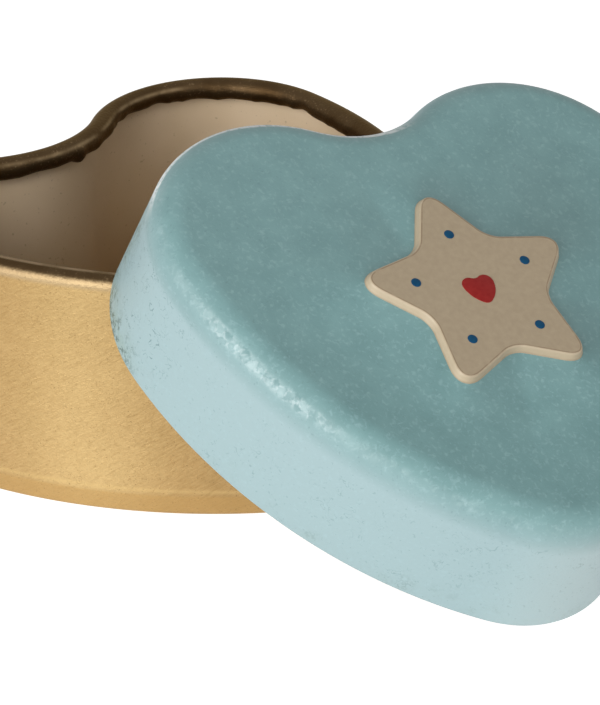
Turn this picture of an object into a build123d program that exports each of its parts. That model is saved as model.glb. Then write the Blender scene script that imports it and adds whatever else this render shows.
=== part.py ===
from build123d import *
import os
from math import atan2, degrees, sqrt

# A heart-shaped keepsake tin of drawn tinplate: a base whose rim is curled inward, and a lift-off lid
# that leans on it, its hem across the rim and its tip on the surface in front. Each is one drawn shell.
# The origin is on the flat underside of the base, on the line through its two lobe centres.
# The cleft of the base points to +Y and its tip to -Y.

# Heart outline, taken round the outside of the base's wall
base_width = 46.0
lobe_radius = 11.56
side_radius = 38.9
tip_radius = 9.74
tip_drop = 21.0  # from the lobe centres down to the centre of the tip's arc
cleft_radius = 11.3

# Base
sheet = 0.28
base_height = 21.5
foot_band = 2.1  # up to where the wall starts to draw in towards the bottom
foot_tuck = 0.66  # how far it has drawn in at the bottom
foot_band_radius = 1.5  # outer radius between wall and band
base_foot_radius = 0.8  # outer radius between band and bottom
rim_curl_radius = 1.05  # outer radius of the inward curl
rim_curl_turn = 290.0

# Lid
lid_height = 13.3
lid_edge_radius = 2.5
hem_radius = 0.42  # outer radius of the inward curl on the lid's open edge
hem_turn = 270.0
lid_clearance = 0.16  # between the hem and the base's wall when the tin is shut

# Raised star on the lid
star_radius = 11.0
star_waist = 5.9  # radius of the notches between the points
star_points = 5
star_point_radius = 1.5
star_notch_radius = 2.2
star_relief = 0.6
star_edge_radius = 0.3
star_drop = 8.4  # from the lid's lobe centres towards its tip

# How the lid leans
tip_under_lid = 3.0  # how far the base's tip reaches past the lid's lobe centres
lid_aside = 0.9
lid_turn = -18.0
lean_direction = -101.4  # the way down the slope
seat_gap = 0.12  # between the hem and the rim where they meet
ground_gap = 0.05  # between the hem and the surface in front
steepest_lean = 45.0
first_lean_step = 4.5
finest_lean_step = 0.01


def angle_of(way):
    """The angle of a direction in the outline's plane, in degrees from +X."""
    return degrees(atan2(way.Y, way.X))


def heart(outset):
    """Draws the heart outline this far outside the base's wall, as tangent arcs from the tip round."""
    lobe = Vector(base_width / 2 - lobe_radius, 0)
    tip = Vector(0, -tip_drop)
    cleft = Vector(0, sqrt((lobe_radius + cleft_radius) ** 2 - lobe.X**2))
    # The side's arc holds the lobe's and the tip's arcs inside it, which gives its centre
    to_lobe = side_radius - lobe_radius
    to_tip = side_radius - tip_radius
    between = (tip - lobe).length
    along = (to_lobe**2 - to_tip**2 + between**2) / (2 * between)
    across = sqrt(to_lobe**2 - along**2)
    down = (tip - lobe).normalized()
    side = lobe + down * along + Vector(down.Y, -down.X) * across
    tip_end = angle_of(tip - side)
    side_end = angle_of(lobe - side)
    lobe_end = angle_of(cleft - lobe)
    cleft_start = angle_of(lobe - cleft)
    half = (
        (tip, tip_radius + outset, -90, tip_end + 90),
        (side, side_radius + outset, tip_end, side_end - tip_end),
        (lobe, lobe_radius + outset, side_end, lobe_end - side_end),
        (cleft, cleft_radius - outset, cleft_start, -90 - cleft_start),
    )
    for centre, radius, start, turn in half:
        CenterArc((centre.X, centre.Y), radius, start, turn)
    for centre, radius, start, turn in reversed(half):
        CenterArc((-centre.X, centre.Y), radius, 180 - start - turn, turn)


def across_wall(plane, outset):
    """The plane that cuts the wall at the tip: x runs outward from the outline and y up the wall."""
    start = plane.from_local_coords((0, -tip_drop - tip_radius - outset, 0))
    return Plane(origin=start, x_dir=-plane.y_dir, z_dir=-plane.x_dir)


def lid_plane_at(lean, height):
    """The plane of the lid's open edge at one lean, with its lobe centres at this height."""
    tip_of_base = -tip_drop - tip_radius
    place = Location((-lid_aside, tip_of_base + tip_under_lid, height))
    place *= Rotation(0, 0, lean_direction) * Rotation(0, lean, 0)
    return Plane(place * Rotation(0, 0, lid_turn - lean_direction))


def hem_line(plane):
    """The line round the middle of the lid's hem."""
    with BuildLine(plane.offset(hem_radius), mode=Mode.PRIVATE) as middle:
        heart(lid_outset - hem_radius)
    return middle.wire()


def grounded(lean):
    """The plane of the lid's open edge with the hem's lowest point on the surface in front."""
    lowest = hem_line(lid_plane_at(lean, 0)).bounding_box().min.Z
    return lid_plane_at(lean, ground_gap + hem_radius - lowest)


def rim_line():
    """The line round the middle of the base's curl."""
    with BuildLine(Plane.XY.offset(base_height - rim_curl_radius), mode=Mode.PRIVATE) as middle:
        heart(-rim_curl_radius)
    return middle.wire()


def resting_plane():
    """Lets the lid down, tip on the ground, until its hem is a seat gap from the rim."""
    rim = rim_line()
    apart = rim_curl_radius + hem_radius + seat_gap
    lean = steepest_lean
    step = first_lean_step
    while step > finest_lean_step:
        if rim.distance_to(hem_line(grounded(lean - step))) > apart:
            lean -= step
        else:
            step /= 2
    print("lean", round(lean, 2))
    return grounded(lean)


def star():
    """Draws the star, centred, with rounded points and notches, the first point towards +Y."""
    corners = []
    for corner in range(2 * star_points):
        reach = star_waist if corner % 2 else star_radius
        corners.append(Vector(0, reach).rotate(Axis.Z, corner * 180 / star_points))
    radii = [star_point_radius, star_notch_radius] * star_points
    FilletPolyline([(corner.X, corner.Y) for corner in corners], radius=radii, close=True)


lid_outset = lid_clearance + 2 * hem_radius
lid_plane = resting_plane()
half_sheet = sheet / 2
curl_base = base_height - rim_curl_radius
bottom_inset = foot_tuck + base_foot_radius + half_sheet

with BuildPart() as base:
    with BuildLine() as base_path:
        heart(0)
    with BuildSketch(across_wall(Plane.XY, 0)):
        with BuildLine():
            # From the bottom up round the foot and its band to the curl, at the middle of the sheet
            FilletPolyline(
                (-bottom_inset - base_foot_radius, half_sheet),
                (-foot_tuck - half_sheet, half_sheet),
                (-half_sheet, foot_band),
                (-half_sheet, curl_base),
                radius=[base_foot_radius - half_sheet, foot_band_radius - half_sheet],
            )
            CenterArc(
                (-rim_curl_radius, curl_base), rim_curl_radius - half_sheet, 0, rim_curl_turn
            )
        trace(line_width=sheet)
    sweep(path=base_path.wire())
    with BuildSketch():
        with BuildLine():
            heart(-bottom_inset)
        make_face()
    extrude(amount=sheet)

with BuildPart() as lid:
    with BuildLine(lid_plane) as lid_path:
        heart(lid_outset)
    with BuildSketch(across_wall(lid_plane, lid_outset)):
        with BuildLine():
            hem = CenterArc((-hem_radius, hem_radius), hem_radius - half_sheet, -hem_turn, hem_turn)
            Line(hem @ 1, (-half_sheet, lid_height - lid_edge_radius))
            turn_in = CenterArc(
                (-lid_edge_radius, lid_height - lid_edge_radius),
                lid_edge_radius - half_sheet,
                0,
                90,
            )
            Line(turn_in @ 1, (-2 * lid_edge_radius, lid_height - half_sheet))
        trace(line_width=sheet)
    sweep(path=lid_path.wire())
    with BuildSketch(lid_plane.offset(lid_height - sheet)):
        with BuildLine():
            heart(lid_outset - lid_edge_radius)
        make_face()
    extrude(amount=sheet)
    # The star is pressed up from below, so the sheet keeps its thickness
    star_plane = lid_plane.offset(lid_height)
    star_plane.origin = star_plane.from_local_coords((0, -star_drop, 0))
    with BuildSketch(star_plane):
        with BuildLine():
            star()
        make_face()
    extrude(amount=star_relief)
    star_top = lid.faces(Select.LAST).sort_by(Axis(star_plane.origin, star_plane.z_dir))[-1]
    fillet(star_top.edges(), star_edge_radius)
    with BuildSketch(star_plane.offset(-sheet)):
        with BuildLine():
            star()
        make_face()
        offset(amount=-sheet, mode=Mode.REPLACE)
    extrude(amount=star_relief, mode=Mode.SUBTRACT)

base.part.label = "base"
lid.part.label = "lid"

os.makedirs("parts", exist_ok=True)
export_step(base.part, "parts/base.step")
export_step(lid.part, "parts/lid.step")
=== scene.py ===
# %% [markdown]
# A heart-shaped keepsake tin, dressed around its CAD frame. The real tin is two drawn tinplate shells:
# a gold-lacquered base with a curled rim, and a blue-enamelled lid that leans on it. The frame holds
# both at their real size and place, so this lesson starts from it and adds the sheet metal's own
# look: a curl that wrinkles, an embossed star with its enamels, and lacquers and enamels that wear.

# %% Load the frame
import math
import bmesh
import bpy
from mathutils import Matrix, Vector, noise


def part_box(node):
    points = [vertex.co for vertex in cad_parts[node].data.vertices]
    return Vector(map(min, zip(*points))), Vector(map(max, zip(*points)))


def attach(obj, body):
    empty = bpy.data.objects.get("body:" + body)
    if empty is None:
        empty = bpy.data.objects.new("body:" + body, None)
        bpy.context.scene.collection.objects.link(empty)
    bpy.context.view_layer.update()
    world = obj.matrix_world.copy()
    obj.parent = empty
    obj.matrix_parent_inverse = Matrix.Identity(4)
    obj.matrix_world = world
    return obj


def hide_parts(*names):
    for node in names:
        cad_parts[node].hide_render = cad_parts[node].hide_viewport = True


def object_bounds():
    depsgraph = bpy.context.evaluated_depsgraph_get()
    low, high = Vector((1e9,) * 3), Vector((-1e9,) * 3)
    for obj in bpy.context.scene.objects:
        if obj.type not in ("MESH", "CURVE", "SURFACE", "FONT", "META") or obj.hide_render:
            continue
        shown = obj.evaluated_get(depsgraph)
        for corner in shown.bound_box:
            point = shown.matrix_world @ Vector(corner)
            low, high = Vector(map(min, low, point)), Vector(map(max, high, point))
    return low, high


MM = 0.001
QUARTER = math.pi / 2
UP = Vector((0, 0, 1))

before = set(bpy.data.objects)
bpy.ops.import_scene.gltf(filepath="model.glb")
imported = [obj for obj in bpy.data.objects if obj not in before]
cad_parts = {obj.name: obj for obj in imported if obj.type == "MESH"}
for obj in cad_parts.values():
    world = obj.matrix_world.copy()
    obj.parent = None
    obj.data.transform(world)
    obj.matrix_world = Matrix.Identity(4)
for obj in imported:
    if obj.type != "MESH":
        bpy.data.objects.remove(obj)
cad_low, cad_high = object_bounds()
print("frame is", [round(side / MM, 2) for side in cad_high - cad_low], "mm")

# %% [markdown]
# The heart is four arcs on each side, all tangent: tip, side, lobe and cleft. A few sizes are read
# from the frame's own boxes, and the radii of the press tool are named here. Both shells share the
# outline, because the lid has to slip over the base.

# %% Sizes of the two shells
base_low, base_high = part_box("base")
LOBE_RADIUS = 11.56 * MM
SIDE_RADIUS = 38.9 * MM
TIP_RADIUS = 9.74 * MM
CLEFT_RADIUS = 11.3 * MM
base_width = base_high.x - base_low.x
base_height = base_high.z
tip_drop = -base_low.y - TIP_RADIUS

SHEET = 0.28 * MM
FOOT_BAND = 2.1 * MM
FOOT_TUCK = 0.66 * MM
FOOT_BAND_RADIUS = 1.5 * MM
BASE_FOOT_RADIUS = 0.8 * MM
RIM_CURL_RADIUS = 1.05 * MM
RIM_CURL_TURN = math.radians(290)

LID_HEIGHT = 13.3 * MM
LID_EDGE_RADIUS = 2.5 * MM
HEM_RADIUS = 0.42 * MM
HEM_TURN = math.radians(270)
LID_CLEARANCE = 0.16 * MM
lid_outset = LID_CLEARANCE + 2 * HEM_RADIUS

# %% The heart's arcs


def angle_of(way):
    """The angle of a direction in the outline's plane, from +X."""
    return math.atan2(way.y, way.x)


def heart_arcs(outset):
    """The outline this far outside the base's wall, as (centre, radius, start, turn), from the cleft
    round by the left."""
    lobe = Vector((base_width / 2 - LOBE_RADIUS, 0, 0))
    tip = Vector((0, -tip_drop, 0))
    cleft = Vector((0, math.sqrt((LOBE_RADIUS + CLEFT_RADIUS) ** 2 - lobe.x**2), 0))
    # The side's arc holds the lobe's and the tip's arcs inside it, which gives its centre
    to_lobe = SIDE_RADIUS - LOBE_RADIUS
    to_tip = SIDE_RADIUS - TIP_RADIUS
    between = (tip - lobe).length
    along = (to_lobe**2 - to_tip**2 + between**2) / (2 * between)
    across = math.sqrt(to_lobe**2 - along**2)
    down = (tip - lobe).normalized()
    side = lobe + down * along + Vector((down.y, -down.x, 0)) * across
    tip_end = angle_of(tip - side)
    side_end = angle_of(lobe - side)
    lobe_end = angle_of(cleft - lobe)
    cleft_start = angle_of(lobe - cleft)
    right = [
        (tip, TIP_RADIUS + outset, -QUARTER, tip_end + QUARTER),
        (side, SIDE_RADIUS + outset, tip_end, side_end - tip_end),
        (lobe, LOBE_RADIUS + outset, side_end, lobe_end - side_end),
        (cleft, CLEFT_RADIUS - outset, cleft_start, -QUARTER - cleft_start),
    ]
    left = []
    for centre, radius, start, turn in reversed(right):
        mirrored = Vector((-centre.x, centre.y, 0))
        left.append((mirrored, radius, math.pi - start - turn, turn))
    return left + right


outline_length = sum(radius * abs(turn) for centre, radius, start, turn in heart_arcs(0))
lid_length = outline_length + 2 * math.pi * lid_outset
print("outline", round(outline_length / MM, 1), "mm round")

# %% [markdown]
# A shell's wall could be lofted, or a flat heart could be extruded and bevelled, but both lose the
# true curl. Sheet metal is easier to think of as one section carried round the outline. Since the
# outline is arcs, the section is spun about each arc's centre in turn, a step at a time. Each point
# keeps two lengths, how far round the heart and how far along the section, and these become the UV
# map that wear and grain follow.

# %% Sections and their sweep


def add_line(section, end, step):
    """Carries the section on in a straight run to this point."""
    start = Vector(section[-1])
    steps = max(1, round((Vector(end) - start).length / step))
    for share in range(1, steps + 1):
        section.append(tuple(start.lerp(Vector(end), share / steps)))


def add_arc(section, centre, radius, start, turn, steps):
    """Carries the section on round an arc. Angles are from the outward direction, towards up."""
    for count in range(1, steps + 1):
        angle = start + turn * count / steps
        section.append((centre[0] + radius * math.cos(angle), centre[1] + radius * math.sin(angle)))


def sweep_section(bm, section, outset, step):
    """Spins a section of (outward, up) points round the heart. Returns its rings, and the bmesh's
    layers of how far round and how far along each vertex is."""
    around = bm.verts.layers.float.new("around")
    along = bm.verts.layers.float.new("along")
    arcs = heart_arcs(outset)
    centre, radius, start, turn = arcs[0]
    place = centre + radius * Vector((math.cos(start), math.sin(start), 0))
    outward = (centre - place).normalized()
    ring = []
    length = 0
    for index, (out, up) in enumerate(section):
        if index:
            length += (Vector(section[index]) - Vector(section[index - 1])).length
        vert = bm.verts.new(place + outward * out + UP * up)
        vert[along] = length
        ring.append(vert)
    chain = [bm.edges.new(pair) for pair in zip(ring, ring[1:])]
    rings = [(ring, place, outward)]
    travelled = 0
    for centre, radius, start, turn in arcs:
        steps = max(2, math.ceil(radius * abs(turn) / step))
        for count in range(1, steps + 1):
            spun = bmesh.ops.spin(
                bm, geom=ring + chain, cent=centre, axis=UP, angle=turn / steps, steps=1
            )["geom_last"]
            ring = [item for item in spun if isinstance(item, bmesh.types.BMVert)]
            chain = [item for item in spun if isinstance(item, bmesh.types.BMEdge)]
            travelled += radius * abs(turn) / steps
            angle = start + turn * count / steps
            way = Vector((math.cos(angle), math.sin(angle), 0))
            for vert in ring:
                vert[around] = travelled
            rings.append((ring, centre + radius * way, way if turn > 0 else -way))
    return rings, around, along


SEAM_GAP = 0.002 * MM
MAP_NAME = "sheet"


def close_seam(bm, around, along):
    """Writes the two lengths to the UV map, then joins the last ring to the first."""
    sheet_map = bm.loops.layers.uv.new(MAP_NAME)
    for face in bm.faces:
        for loop in face.loops:
            loop[sheet_map].uv = (loop.vert[around], loop.vert[along])
    bmesh.ops.remove_doubles(bm, verts=bm.verts[:], dist=SEAM_GAP)
    return sheet_map


def map_flat(faces, sheet_map, shift):
    """Maps a flat panel by its own plane, shifted so that its lengths are none of the wall's."""
    for face in faces:
        for loop in face.loops:
            loop[sheet_map].uv = (loop.vert.co.x, loop.vert.co.y + shift)


# %% [markdown]
# The base's section starts under the bottom, turns up round the foot, leans out along the foot's
# band, climbs the wall and curls inward nearly all the way round. Only the outer face is drawn. The
# sheet gets its thickness later, inward, so that the curl's inside and its cut edge come out as they
# do in the press.

# %% The base's section
RING_STEP = 0.42 * MM
RIM_STEP = 0.28 * MM
WALL_STEP = 1.6 * MM
FOOT_STEPS = 8
BLEND_STEPS = 4
CURL_STEPS = 40
SUPPORT = 0.12 * MM


def length_of(section):
    """How long a section is so far."""
    return sum((Vector(end) - Vector(start)).length for start, end in zip(section, section[1:]))


# The band's lean is the one of the sheet's middle, and the outer face is half a sheet outside it
half_sheet = SHEET / 2
band_lean = math.atan(FOOT_TUCK / (FOOT_BAND - half_sheet))
band_corner = FOOT_TUCK + half_sheet - half_sheet * math.tan(QUARTER / 2 - band_lean / 2)
foot_centre = band_corner + BASE_FOOT_RADIUS * math.tan(QUARTER / 2 - band_lean / 2)
band_top = FOOT_BAND - half_sheet * math.tan(band_lean / 2)
blend_centre = band_top + FOOT_BAND_RADIUS * math.tan(band_lean / 2)
curl_base = base_height - RIM_CURL_RADIUS

base_section = [(-foot_centre - BASE_FOOT_RADIUS, 0)]
add_line(base_section, (-foot_centre - SUPPORT, 0), BASE_FOOT_RADIUS)
add_line(base_section, (-foot_centre, 0), SUPPORT)
foot_turn = QUARTER - band_lean
add_arc(
    base_section,
    (-foot_centre, BASE_FOOT_RADIUS),
    BASE_FOOT_RADIUS,
    -QUARTER,
    foot_turn,
    FOOT_STEPS,
)
blend = (-FOOT_BAND_RADIUS, blend_centre)
add_arc(base_section, blend, FOOT_BAND_RADIUS, -band_lean, 0, 1)
add_arc(base_section, blend, FOOT_BAND_RADIUS, -band_lean, band_lean, BLEND_STEPS)
band_end_length = length_of(base_section)
add_line(base_section, (0, curl_base), WALL_STEP)
curl_start_length = length_of(base_section)
add_arc(base_section, (-RIM_CURL_RADIUS, curl_base), RIM_CURL_RADIUS, 0, RIM_CURL_TURN, CURL_STEPS)
print(len(base_section), "points in the base's section")

# %% [markdown]
# Sheet that is curled round a tight lobe has too much length on its inner side, so the free edge
# puckers into lumps with sharp notches between them. Displacement from a texture would move the
# whole tube. Instead each ring's curl is tightened by a share that grows towards its free edge, and
# that share follows a noise along the outline. A noise's distance from its middle value gives round
# lumps with sharp notches. The top of the curl stays as it is, because the lid rests there.

# %% The base's shell
PUCKER_LENGTH = 2.6 * MM
SWAY_LENGTH = 9.0 * MM
TIGHTER_SHARE = 0.19
PUCKER_SHARE = 0.34
SWAY_SHARE = 0.3
PUCKER_FROM = math.radians(105)
PUCKER_FULL = math.radians(235)
PINCH_AT = 0.8 * MM
PINCH_WIDTH = 0.7 * MM
PINCH_SHARE = 0.27
LUMP_MIDDLE = 0.25  # the middle of a noise's distance from its middle value


def ramp(value, low, high):
    """0 below low, 1 above high and a smooth step between."""
    share = min(1, max(0, (value - low) / (high - low)))
    return share * share * (3 - 2 * share)


def pucker_curl(rings, along):
    """Tightens the curl towards its free edge, by shares that follow the outline."""
    for ring, place, outward in rings:
        lump = PUCKER_SHARE * (abs(noise.noise(place / PUCKER_LENGTH)) - LUMP_MIDDLE)
        sway = SWAY_SHARE * noise.noise(place / SWAY_LENGTH)
        from_pinch = min(abs(place.x - PINCH_AT), PINCH_WIDTH) / PINCH_WIDTH
        if place.y > 0:
            sway += PINCH_SHARE * ramp(1 - from_pinch, 0, 1)
        for vert in ring:
            bend = (vert[along] - curl_start_length) / RIM_CURL_RADIUS
            share = ramp(bend, PUCKER_FROM, PUCKER_FULL) * (sway - lump - TIGHTER_SHARE)
            if bend > PUCKER_FROM:
                radius = RIM_CURL_RADIUS * (1 + share)
                centre = place - outward * RIM_CURL_RADIUS + UP * curl_base
                vert.co = centre + outward * radius * math.cos(bend) + UP * radius * math.sin(bend)


def open_loop(bm, test):
    """The edges with one face whose middle passes a test."""
    rims = [edge for edge in bm.edges if edge.is_boundary]
    return [edge for edge in rims if test((edge.verts[0].co + edge.verts[1].co) / 2)]


bm = bmesh.new()
rings, around, along = sweep_section(bm, base_section, 0, RIM_STEP)
pucker_curl(rings, along)
sheet_map = close_seam(bm, around, along)
rim_of_bottom = open_loop(bm, lambda middle: middle.z < SHEET)
bottom = bmesh.ops.triangle_fill(bm, use_beauty=True, edges=rim_of_bottom)["geom"]
bottom = [item for item in bottom if isinstance(item, bmesh.types.BMFace)]
map_flat(bottom, sheet_map, -base_width)
bmesh.ops.recalc_face_normals(bm, faces=bm.faces[:])
base_bm = bm
print("base's outer face has", len(bm.faces), "faces")

# %% [markdown]
# The lid is the same idea upside down: from the cut end of a small inward hem, up the skirt, over
# the rounded edge and onto the top. The top panel is filled between that edge and the foot of the
# star, and the star is raised from its own outline by small insets, each a little higher, along the
# soft S that a press leaves.

# %% The lid's section
EDGE_STEPS = 14
HEM_STEPS = 16
STAR_RADIUS = 11.0 * MM
STAR_WAIST = 5.9 * MM
STAR_POINTS = 5
STAR_POINT_RADIUS = 1.5 * MM
STAR_NOTCH_RADIUS = 2.2 * MM
STAR_DROP = 8.4 * MM
STAR_RELIEF = 0.6 * MM
STAR_SLOPE = 0.3 * MM
STAR_LINE = 0.16 * MM
CLIMB_NAME = "climb"
STAR_SLOPE_STEPS = 8
CORNER_STEPS = 9
SORT_SLACK = math.radians(1)

hem_start = HEM_RADIUS * HEM_TURN
lid_section = [(-HEM_RADIUS, 2 * HEM_RADIUS)]
add_arc(lid_section, (-HEM_RADIUS, HEM_RADIUS), HEM_RADIUS, -HEM_TURN, HEM_TURN, HEM_STEPS)
lid_shoulder = LID_HEIGHT - LID_EDGE_RADIUS
add_line(lid_section, (0, lid_shoulder), WALL_STEP)
add_arc(
    lid_section, (-LID_EDGE_RADIUS, lid_shoulder), LID_EDGE_RADIUS, 0, QUARTER, EDGE_STEPS
)
add_line(lid_section, (-LID_EDGE_RADIUS - SUPPORT, LID_HEIGHT), SUPPORT)
add_line(lid_section, (-2 * LID_EDGE_RADIUS, LID_HEIGHT), LID_EDGE_RADIUS)
edge_start_length = hem_start + lid_shoulder - HEM_RADIUS
print(len(lid_section), "points in the lid's section")

# %% The star's outline


def corner_cut(corner, side_a, side_b, radius):
    """How far from a corner an arc of this radius touches the two sides."""
    half = (side_a - corner).angle(side_b - corner) / 2
    return radius / math.tan(half)


def add_star(bm):
    """Adds the raised star to a bmesh in the lid's own frame. Returns its faces and its foot's edges.
    Each vertex keeps how far it has climbed the star's side, and 2 inside the line along the top."""
    climb = bm.verts.layers.float.new(CLIMB_NAME)
    before = set(bm.edges)
    points = bmesh.ops.create_circle(
        bm, cap_ends=True, segments=2 * STAR_POINTS, radius=STAR_RADIUS
    )["verts"]
    # In order round the circle, from the one towards the cleft
    points.sort(key=lambda vert: (angle_of(vert.co) - QUARTER + SORT_SLACK) % (2 * math.pi))
    notches = points[1::2]
    tips = points[0::2]
    for vert in notches:
        vert.co *= STAR_WAIST / STAR_RADIUS
    tip_cut = corner_cut(tips[0].co, points[1].co, points[-1].co, STAR_POINT_RADIUS)
    notch_cut = corner_cut(notches[0].co, points[0].co, points[2].co, STAR_NOTCH_RADIUS)
    for verts, cut in ((tips, tip_cut), (notches, notch_cut)):
        bmesh.ops.bevel(
            bm,
            geom=verts,
            offset=cut,
            offset_type="OFFSET",
            segments=CORNER_STEPS,
            profile=0.5,
            affect="VERTICES",
            material=-1,
        )
    top = next(edge for edge in bm.edges if edge not in before).link_faces[0]
    bmesh.ops.translate(bm, verts=top.verts[:], vec=(0, -STAR_DROP, LID_HEIGHT))
    if top.normal.z < 0:
        bmesh.ops.reverse_faces(bm, faces=[top])
    raised = [top]
    for count in range(STAR_SLOPE_STEPS):
        low = ramp(count / STAR_SLOPE_STEPS, 0, 1)
        high = ramp((count + 1) / STAR_SLOPE_STEPS, 0, 1)
        ring = bmesh.ops.inset_individual(
            bm,
            faces=[top],
            thickness=STAR_SLOPE / STAR_SLOPE_STEPS,
            depth=STAR_RELIEF * (high - low),
            use_even_offset=True,
        )["faces"]
        raised.extend(ring)
        for vert in top.verts:
            vert[climb] = high
    ring = bmesh.ops.inset_individual(bm, faces=[top], thickness=STAR_LINE, use_even_offset=True)
    raised.extend(ring["faces"])
    for vert in top.verts:
        vert[climb] = 2
    foot = [edge for edge in bm.edges if edge.is_boundary and edge not in before]
    return raised, foot


# %% The lid's shell
bm = bmesh.new()
rings, around, along = sweep_section(bm, lid_section, lid_outset, RING_STEP)
sheet_map = close_seam(bm, around, along)
rim_of_top = open_loop(bm, lambda middle: middle.z > lid_shoulder)
raised, foot = add_star(bm)
panel = bmesh.ops.triangle_fill(bm, use_beauty=True, edges=rim_of_top + foot)["geom"]
panel = [item for item in panel if isinstance(item, bmesh.types.BMFace)]
map_flat(panel + raised, sheet_map, 2 * base_width)
bmesh.ops.recalc_face_normals(bm, faces=bm.faces[:])
lid_bm = bm
print("lid's outer face has", len(bm.faces), "faces")

# %% [markdown]
# Where the lid lies is the frame's business, so it is measured there. The largest face of the CAD
# lid that looks up is its flat top, whose normal gives the lean and whose distance gives the height.
# Only the turn about the lid's own axis and the two offsets on the plan are named.

# %% Where the lid leans
LID_TURN = math.radians(-18)
LID_ASIDE = 0.9 * MM
TIP_UNDER_LID = 3.0 * MM

upward = [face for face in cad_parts["lid"].data.polygons if face.normal.z > 0]
flat = max(upward, key=lambda face: face.area)
lean = math.acos(flat.normal.z)
lean_direction = angle_of(flat.normal)
turned = Matrix.Rotation(lean_direction, 4, "Z") @ Matrix.Rotation(lean, 4, "Y")
turned = turned @ Matrix.Rotation(LID_TURN - lean_direction, 4, "Z")
lid_x = -LID_ASIDE
lid_y = base_low.y + TIP_UNDER_LID
reach = flat.normal.dot(flat.center) - LID_HEIGHT
lid_z = (reach - flat.normal.x * lid_x - flat.normal.y * lid_y) / flat.normal.z
lid_place = Matrix.Translation((lid_x, lid_y, lid_z)) @ turned
print("lid leans", round(math.degrees(lean), 2), "degrees, its lobes", round(lid_z / MM, 2), "mm up")

# %% [markdown]
# Colours are written as the sRGB hex values that a swatch would show, and one function turns them
# to the linear values that the shader works in. One more function adds a node with its settings and
# links, which keeps each material readable from top to bottom.

# %% Colour and node helpers


def colour(code):
    """A linear colour from an sRGB hex value such as D8B478."""
    channels = [int(code[index : index + 2], 16) / 255 for index in (0, 2, 4)]
    linear = [c / 12.92 if c <= 0.04045 else ((c + 0.055) / 1.055) ** 2.4 for c in channels]
    return (*linear, 1)


def add(tree, kind, inputs=None, **settings):
    """Adds a node, with its settings, and sets or links its inputs by name or number."""
    node = tree.nodes.new(kind)
    for name, value in settings.items():
        setattr(node, name, value)
    for name, value in (inputs or {}).items():
        if isinstance(value, bpy.types.NodeSocket):
            tree.links.new(value, node.inputs[name])
        else:
            node.inputs[name].default_value = value
    return node


def new_material(name):
    """An empty material and its tree."""
    material = bpy.data.materials.new(name)
    material.use_nodes = True
    material.node_tree.nodes.clear()
    return material, material.node_tree


def finish_material(material, shader):
    """Sends a shader to the material's surface."""
    tree = material.node_tree
    add(tree, "ShaderNodeOutputMaterial", {"Surface": shader})
    print(material.name, "has", len(tree.nodes), "nodes")
    return material


# %% [markdown]
# All wear is made of masks, which are 1 where something shows and 0 elsewhere: a band along a
# length, a speckle of a real size, or fine lines. Masks that overlap give a smaller mask. A finish is
# then a body colour with tints laid over it one after another, each where all of its masks agree.

# %% Masks and tints
BEYOND = 1.0  # a metre, which is past every length on the tin


def band(tree, value, low, high, soft):
    """1 where a value lies between two limits and 0 outside, with soft ends."""
    rise = add(
        tree,
        "ShaderNodeMapRange",
        {"Value": value, "From Min": low - soft, "From Max": low + soft},
        interpolation_type="SMOOTHSTEP",
    )
    fall = add(
        tree,
        "ShaderNodeMapRange",
        {"Value": value, "From Min": high - soft, "From Max": high + soft, "To Min": 1, "To Max": 0},
        interpolation_type="SMOOTHSTEP",
    )
    return overlap(tree, rise.outputs[0], fall.outputs[0])


def speckle(tree, place, size, low, high, detail=2.0, stretch=(1, 1, 1), warp=0.0):
    """A noise of this size in metres, cut to 0 below low and 1 above high."""
    mapped = add(tree, "ShaderNodeMapping", {"Vector": place, "Scale": stretch})
    grain = add(
        tree,
        "ShaderNodeTexNoise",
        {"Vector": mapped.outputs[0], "Scale": 1 / size, "Detail": detail, "Distortion": warp},
    )
    cut = add(tree, "ShaderNodeMapRange", {"Value": grain.outputs[0], "From Min": low, "From Max": high})
    return cut.outputs[0]


def hairlines(tree, place, size, width, warp):
    """Fine wandering lines, where a warped noise passes its middle value."""
    grain = add(
        tree,
        "ShaderNodeTexNoise",
        {"Vector": place, "Scale": 1 / size, "Detail": 2.0, "Distortion": warp},
    )
    near = add(tree, "ShaderNodeMath", {0: grain.outputs[0], 1: 0.5, 2: width}, operation="COMPARE")
    return near.outputs[0]


def overlap(tree, *masks):
    """A mask that is 1 only where all of these are. A number among them weakens it."""
    whole = masks[0]
    for mask in masks[1:]:
        whole = add(tree, "ShaderNodeMath", {0: whole, 1: mask}, operation="MULTIPLY").outputs[0]
    return whole


def either(tree, *masks):
    """A mask that is 1 where any of these is."""
    whole = masks[0]
    for mask in masks[1:]:
        whole = add(tree, "ShaderNodeMath", {0: whole, 1: mask}, operation="MAXIMUM").outputs[0]
    return whole


def tinted(tree, body, tint, *masks):
    """Lays a tint, which is a hex value or another body, over a body where all the masks are 1."""
    over = colour(tint) if isinstance(tint, str) else tint
    inputs = {0: overlap(tree, *masks), 6: body, 7: over}
    return add(tree, "ShaderNodeMix", inputs, data_type="RGBA").outputs[2]


def sheet_places(tree):
    """A point's place, how far round the heart it is, and how far along the section."""
    place = add(tree, "ShaderNodeTexCoord").outputs["Object"]
    lengths = add(tree, "ShaderNodeUVMap", uv_map=MAP_NAME)
    parted = add(tree, "ShaderNodeSeparateXYZ", {0: lengths.outputs[0]})
    return place, parted.outputs[0], parted.outputs[1]
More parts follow.
